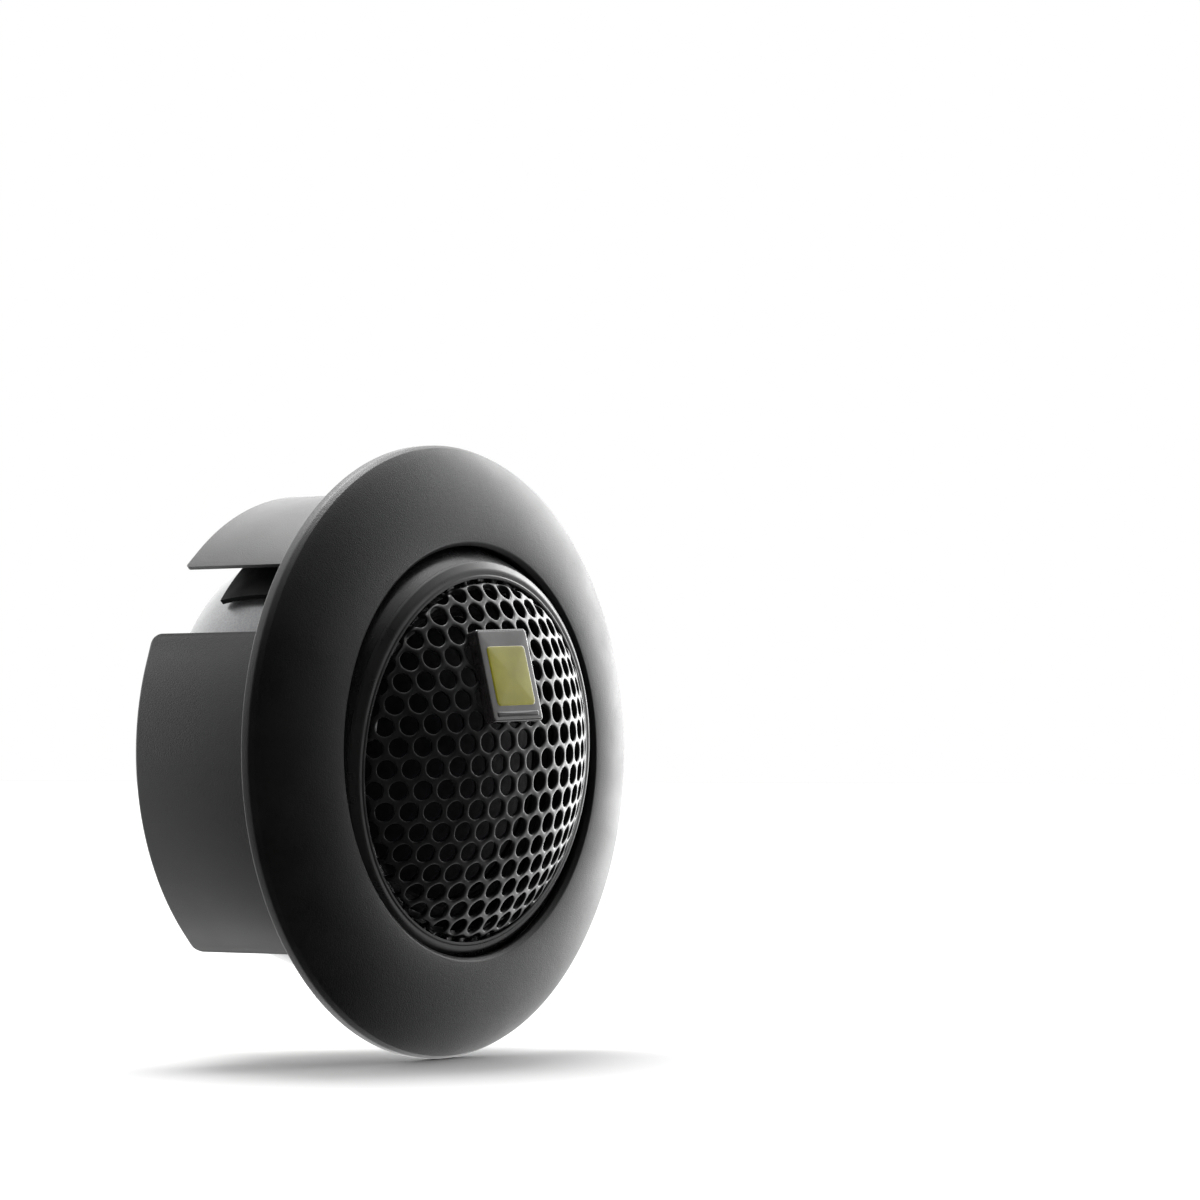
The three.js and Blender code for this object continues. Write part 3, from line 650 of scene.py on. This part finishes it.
def perforated_sheet():
    """Rows of six-sided cells, each a ring of quads between its edge and a round hole. The web between
    holes is nearly flat, its height falling off as one less the cube root of one less the cubed share
    of the way from the cell's edge to the hole's, and the holes widen slightly towards the back. Sides
    that no second cell shares are closed by a wall. Points that cells share are merged later."""
    sides, crown = 24, 0.13
    cu, cv = cell_centres()
    angle = np.arange(sides) * 2 * math.pi / sides + math.pi / 6
    edge = (HOLE_PITCH / 2) / np.cos((angle + math.pi / 6) % (math.pi / 3) - math.pi / 6)
    angle, edge = angle[None] + LATTICE_TURN, edge[None]
    rings = [(f, crown * (1 - (1 - f**3) ** (1 / 3))) for f in (0.0, 0.3, 0.55, 0.75, 0.9, 0.98, 1.0)]
    rings += [(0.8, GRILLE_SHEET - 0.08), (0.6, GRILLE_SHEET), (0.0, GRILLE_SHEET)]
    layers = []
    for share, depth in rings:
        radius = edge + share * (HOLE_RADIUS - edge)
        u, v = cu + radius * np.cos(angle), cv + radius * np.sin(angle)
        layers.append(sheet_point(u, v, depth + 0 * u))
    points = np.stack(layers, 1)
    cells, per_cell = len(points), len(rings) * sides
    quads = grid_faces(len(rings), sides, False, True)
    faces = (quads[None] + (np.arange(cells) * per_cell)[:, None, None]).reshape(-1, 4)
    cell, side = np.nonzero(open_sides(points[:, 0]))
    first = cell * per_cell
    last, after = first + per_cell - sides, (side + 1) % sides
    walls = np.stack([first + side, last + side, last + after, first + after], -1)
    return points.reshape(-1, 3), np.concatenate([faces, walls])


sheet_points, sheet_faces = perforated_sheet()
grille = make_object("grille_perforated", on_ball(sheet_points), sheet_faces, 50, weld=4e-3)
finish_piece(grille, "capsule", grille_paint, "grille_steel", "grille")


def badge_frame():
    """The badge's own axes on the dome, in the ball's frame: place, across, out and up."""
    x, z = BADGE_PLACE
    r = math.hypot(x, z)
    slope = float(dome_slope(r))
    out = Vector((-slope * x / r, -1, -slope * z / r)).normalized()
    turn = Vector((0, -1, 0)).rotation_difference(out)
    spin = turn @ Matrix.Rotation(-BADGE_TURN, 3, "Y").to_quaternion()
    across, up = spin @ Vector((1, 0, 0)), spin @ Vector((0, 0, 1))
    place = Vector((x, -float(dome_height(r)), z))
    return np.array(place), np.array(across), np.array(out), np.array(up)


def pillow(name, width, height, corner, low, high, crown, roll, lift=0.0):
    """A slab with rounded corners, standing on the badge's place: its outline is a rectangle with
    quarter-circle corners, drawn in by a quarter-round at the top edge, and its face rises towards the
    middle by a crown."""
    rings, sides = 9, 24
    quarter = np.linspace(0, math.pi / 2, sides // 4 + 1)
    edge_x = np.linspace(-1, 1, sides, endpoint=False)[1:]

    def outline(w, h, r):
        c, s = r * np.cos(quarter), r * np.sin(quarter)
        span_x, span_z = (w - r) * edge_x, (h - r) * edge_x
        x = np.concatenate([w - r + c, -span_x, r - w - s, -w + 0 * span_z, r - w - c, span_x,
                            w - r + s, w + 0 * span_z])
        z = np.concatenate([h - r + s, h + 0 * span_x, h - r + c, -span_z, r - h - s, -h + 0 * span_x,
                            r - h - c, span_z])
        return x, z

    def ring(inset, level, scale=1.0):
        x, z = outline(width / 2 - inset, height / 2 - inset, max(corner - inset, 0.02))
        return np.stack([scale * x, level + 0 * x, lift + scale * z], -1)

    t = np.linspace(0, math.pi / 2, 6)
    levels = [ring(0.0, low, 0.0), ring(0.0, low)]
    levels += [ring(roll * (1 - math.cos(a)), high - roll + roll * math.sin(a)) for a in t]
    levels += [ring(roll, high + crown * (1 - k * k), k) for k in np.linspace(1, 0, rings)[1:]]
    own = np.concatenate(levels)
    place, across, out, up = badge_frame()
    points = place + own[:, :1] * across + own[:, 1:2] * out + own[:, 2:] * up
    return make_object(name, on_ball(points), grid_faces(len(levels), len(levels[0]), False, True), 40)


def badge():
    """A smoked plate with a grey field, a plain yellow panel and a lip along its lower edge."""
    top = BADGE_THICKNESS
    plate = pillow("badge_plate_smooth", BADGE_WIDTH, BADGE_HEIGHT, 0.35, -0.4, top, 0.08, 0.16)
    finish_piece(plate, "capsule", badge_dark, "badge_base", "badge_plate")
    field = pillow("badge_field", BADGE_WIDTH - 0.35, BADGE_HEIGHT - 0.35, 0.3, top - 0.1, top + 0.06,
                   0.09, 0.06)
    finish_piece(field, "capsule", badge_grey, "badge_base")
    inlay = pillow("badge_inlay_smooth", BADGE_WIDTH - 1.6, BADGE_HEIGHT - 2.9, 0.4, top - 0.2,
                   top + 0.2, 0.08, 0.12, -0.1)
    finish_piece(inlay, "capsule", badge_yellow, "badge_inlay", "badge_inlay")
    lip = pillow("badge_lower_lip", BADGE_WIDTH - 1.1, 0.55, 0.2, top - 0.2, top + 0.12, 0.05, 0.12,
                 -BADGE_HEIGHT / 2 + 0.62)
    finish_piece(lip, "capsule", badge_dark, "badge_base")


badge()


# ---------------------------------------------------------------- diaphragm

dome_edge = LANDING - 0.1
dome_sphere = (DOME_RADIUS**2 + DOME_HEIGHT**2) / (2 * DOME_HEIGHT)
dome_centre = dome_edge + DOME_HEIGHT - dome_sphere


def cap_profile(radius, edge, count=22):
    """Corners on a cap of a sphere from its apex to a forward height."""
    return arc(radius, dome_centre + radius - 1e-4, edge, count, dome_centre)


moving_dome = lathe("dome_smooth", [
    *cap_profile(dome_sphere, dome_edge),
    (DOME_RADIUS + 0.08, dome_edge, 0.0),
    (DOME_RADIUS + 0.08, dome_edge - CLOTH, 0.0),
    *cap_profile(dome_sphere - CLOTH, dome_edge - CLOTH)[::-1],
], 128, ball=True)
finish_piece(moving_dome, "diaphragm", silk, "dome_silk", "dome")


def half_roll(radius, angles):
    """Corners on the surround's half roll, from angles measured from its outer foot."""
    middle = (ROLL_INNER + ROLL_OUTER) / 2
    return [(middle + radius * math.cos(a), LANDING + radius * math.sin(a), 0.0) for a in angles]


roll_radius, roll_land = (ROLL_OUTER - ROLL_INNER) / 2, 15.3
edge_roll = lathe("surround_smooth", [
    (DOME_RADIUS + 0.12, LANDING, 0.0),
    *half_roll(roll_radius - CLOTH, np.linspace(math.pi, 0, 14)),
    (roll_land, LANDING, 0.0),
    (roll_land, LANDING + CLOTH, 0.05),
    *half_roll(roll_radius, np.linspace(0.3, math.pi - 0.3, 14)),
    (DOME_RADIUS + 0.12, LANDING + CLOTH, 0.0),
], 128, ball=True)
finish_piece(edge_roll, "capsule", silk, "dome_silk", "surround")


# ---------------------------------------------------------------- back: screws and terminals

def screw(name, head_radius, head_height, shank_radius, head_back, shank_end, x, z):
    """A pan-head screw along Y. The head's face is a shallow dome; a cross-shaped recess is sunk into
    it, deepest in the middle, with its edge softened over a few hundredths of a millimetre."""
    rings, segments = 40, 96
    radius = np.linspace(0, 1, rings)[:, None] * head_radius
    angle = np.linspace(0, 2 * math.pi, segments, endpoint=False)[None]
    px, pz = radius * np.cos(angle), radius * np.sin(angle)
    dome = head_back - 0.55 * head_height * (radius / head_radius) ** 2.4 + 0 * angle
    arm, reach = 0.15 * head_radius, 0.6 * head_radius

    def in_arm(across, along):
        side = np.clip((arm - np.abs(across)) / (0.08 * head_radius), 0, 1)
        return side * np.clip((reach - np.abs(along)) / (0.1 * head_radius), 0, 1)

    cross = np.maximum(in_arm(px, pz), in_arm(pz, px))
    depth = 0.75 * head_height * cross * (1 - 0.45 * radius / head_radius)
    top = np.stack([px, dome - depth, pz], -1)
    low = head_back - head_height
    loops = [(head_radius, head_back - 0.8 * head_height), (head_radius - 0.06, low), (shank_radius, low),
             (shank_radius, shank_end + 0.4 * shank_radius), (0.0, shank_end)]
    side = np.stack([
        np.stack([r * np.cos(angle[0]), f + 0 * angle[0], r * np.sin(angle[0])], -1) for r, f in loops
    ])
    points = np.concatenate([top, side]).reshape(-1, 3) + np.array([x, 0, z])
    return make_object(name, on_ball(points), grid_faces(rings + len(loops), segments, False, True), 34)


finish_piece(screw("motor_screw_smooth", 2.5, 1.4, 1.3, 10.2, 0.3, 0, 0), "capsule", zinc,
             "screw_steel", "motor_screw")
washer = lathe("motor_washer_smooth", [
    (1.5, -8.3, 0.05), (2.9, -8.3, 0.12), (2.9, -8.7, 0.12), (1.5, -8.7, 0.05),
], 96, ball=True)
finish_piece(washer, "capsule", zinc, "screw_steel", "motor_washer")
block_back = FLAT_BACK + 0.1 + BLOCK_DEPTH
for k, x in enumerate(TERMINAL_SCREWS):
    finish_piece(screw(f"terminal_screw_{k + 1}_smooth", 1.3, 0.8, 0.65, block_back + 0.9, 8.1, x,
                       TERMINAL_HEIGHT), "capsule", zinc, "screw_steel", f"terminal_screw_{k + 1}")


def slab(name, width, depth, height, centre, edge):
    """A box with softened edges in the ball's frame, its bevel live."""
    sx, sy, sz = width / 2, depth / 2, height / 2
    corners = np.array([(i, j, k) for i in (-sx, sx) for j in (-sy, sy) for k in (-sz, sz)])
    faces = [(0, 1, 3, 2), (4, 6, 7, 5), (0, 4, 5, 1), (2, 3, 7, 6), (0, 2, 6, 4), (1, 5, 7, 3)]
    piece = make_object(name, on_ball(corners + np.array(centre)), faces, 40)
    bevel = piece.modifiers.new("edges", "BEVEL")
    bevel.width, bevel.segments, bevel.harden_normals = edge * MM, 4, True
    return piece


block = slab("terminal_block_smooth", BLOCK_WIDTH, BLOCK_DEPTH, BLOCK_HEIGHT,
             (0, block_back - BLOCK_DEPTH / 2, TERMINAL_HEIGHT), 0.5)
finish_piece(block, "capsule", frame_satin, "trim_satin", "terminal_block")
mark_height, mark_long, mark_thick = TERMINAL_HEIGHT + 1.75, 1.2, 0.3
for pole, (x, width) in BLADES.items():
    collar = slab(f"terminal_collar_{pole}", width + 1.4, 0.5, 2.0,
                  (x, block_back + 0.15, TERMINAL_HEIGHT), 0.15)
    finish_piece(collar, "capsule", frame_satin, "trim_satin")
    marks = [(mark_long, mark_thick)]
    if pole == "positive":
        marks.append((mark_thick, mark_long))
    for k, (w, h) in enumerate(marks):
        bar = slab(f"polarity_{pole}_{k + 1}", w, 0.22, h, (x, block_back + 0.06, mark_height), 0.05)
        finish_piece(bar, "capsule", frame_satin, "trim_satin")
    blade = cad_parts[f"terminal_{pole}"]
    weld = blade.modifiers.new("weld", "WELD")
    weld.merge_threshold = 1e-6
    bevel = blade.modifiers.new("edges", "BEVEL")
    bevel.width, bevel.segments, bevel.limit_method = 0.1 * MM, 2, "ANGLE"

carried_over = {
    "terminal_positive": brass, "terminal_negative": brass, "solder_tag_positive": brass,
    "solder_tag_negative": brass, "diaphragm_frame": frame_satin, "frame_gasket": felt,
    "coil_former": aluminium, "voice_coil": copper, "top_plate": nickel, "magnet": nickel,
    "return_cup": nickel, "dome_damper": felt, "chamber_foam": felt,
    "lead_wire_positive": red_wire, "lead_wire_negative": black_wire,
}
for node, material in carried_over.items():
    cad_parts[node].data.materials.clear()
    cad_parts[node].data.materials.append(material)


# ---------------------------------------------------------------- studio

def studio():
    """A pale floor under the rim, a soft overhead sun, a broad side light and a bright surround that
    falls off towards the front, as a white sweep lit from behind does."""
    floor_finish = Finish("studio_floor", (0.6, 0.6, 0.6), 0.8)
    floor_finish.tint(floor_finish.noise(3, 2.0), (0.59, 0.59, 0.59), (0.61, 0.61, 0.61))
    size, level = 6.0, -FLANGE_RADIUS * MM - 2e-5
    mesh = bpy.data.meshes.new("floor")
    mesh.from_pydata([(-size, -size, level), (size, -size, level), (size, size, level), (-size, size, level)],
                     [], [(0, 1, 2, 3)])
    mesh.materials.append(floor_finish.material)
    floor = bpy.data.objects.new("floor", mesh)
    bpy.context.scene.collection.objects.link(floor)
    floor.visible_glossy = False

    world = bpy.data.worlds.new("studio")
    bpy.context.scene.world = world
    world.use_nodes = True
    nodes, links = world.node_tree.nodes, world.node_tree.links
    nodes.clear()
    place = nodes.new("ShaderNodeTexCoord")
    toward = nodes.new("ShaderNodeVectorMath")
    toward.operation = "DOT_PRODUCT"
    toward.inputs[1].default_value = Vector((0.68, 0.68, 0.3)).normalized()
    links.new(place.outputs["Generated"], toward.inputs[0])
    ramp = nodes.new("ShaderNodeMapRange")
    ramp.interpolation_type = "SMOOTHSTEP"
    for key, value in (("From Min", -0.4), ("From Max", 0.85), ("To Min", 0.005), ("To Max", 2.5)):
        ramp.inputs[key].default_value = value
    links.new(toward.outputs["Value"], ramp.inputs["Value"])
    seen = nodes.new("ShaderNodeLightPath")
    mix = nodes.new("ShaderNodeMix")
    links.new(seen.outputs["Is Camera Ray"], mix.inputs[0])
    links.new(ramp.outputs["Result"], mix.inputs[2])
    mix.inputs[3].default_value = 1.0
    background = nodes.new("ShaderNodeBackground")
    background.inputs["Color"].default_value = (1, 1, 1, 1)
    links.new(mix.outputs[0], background.inputs["Strength"])
    output = nodes.new("ShaderNodeOutputWorld")
    links.new(background.outputs["Background"], output.inputs["Surface"])

    sun = bpy.data.lights.new("overhead", "SUN")
    sun.energy, sun.angle = 2.6, math.radians(33)
    overhead = bpy.data.objects.new("overhead", sun)
    overhead.rotation_euler = Vector((0.3, 0.35, 1.0)).to_track_quat("Z", "Y").to_euler()
    side = bpy.data.lights.new("side_box", "AREA")
    side.energy, side.shape, side.size, side.size_y = 2.0, "RECTANGLE", 0.35, 0.5
    side_box = bpy.data.objects.new("side_box", side)
    side_box.location = (0.55, -0.02, 0.12)
    side_box.rotation_euler = (Vector(side_box.location)).to_track_quat("Z", "Y").to_euler()
    for light in (overhead, side_box):
        bpy.context.scene.collection.objects.link(light)


def camera():
    """A long lens to the front left at the ball's height. It looks past the object, to the right of it
    and above it by two lengths in millimetres, so that the object sits low and left."""
    azimuth, distance, lens = math.radians(-52.48), 400.0, 135.7
    look_right, look_up = 15.03, 13.26
    right = Vector((math.cos(azimuth), math.sin(azimuth), 0))
    forward = Vector((-math.sin(azimuth), math.cos(azimuth), 0.0042)).normalized()
    up = right.cross(forward)
    aim = (forward * distance + right * look_right + up * look_up).normalized()
    data = bpy.data.cameras.new("camera")
    data.lens, data.sensor_width = lens, 36.0
    data.clip_start, data.clip_end = 0.01, 50
    made = bpy.data.objects.new("camera", data)
    made.location = (-forward * distance - right * 0.62 + up * 0.14) * MM
    made.rotation_mode = "QUATERNION"
    made.rotation_quaternion = aim.to_track_quat("-Z", "Y")
    bpy.context.scene.collection.objects.link(made)
    bpy.context.scene.camera = made


studio()
camera()
bpy.context.scene.view_settings.view_transform = "Standard"
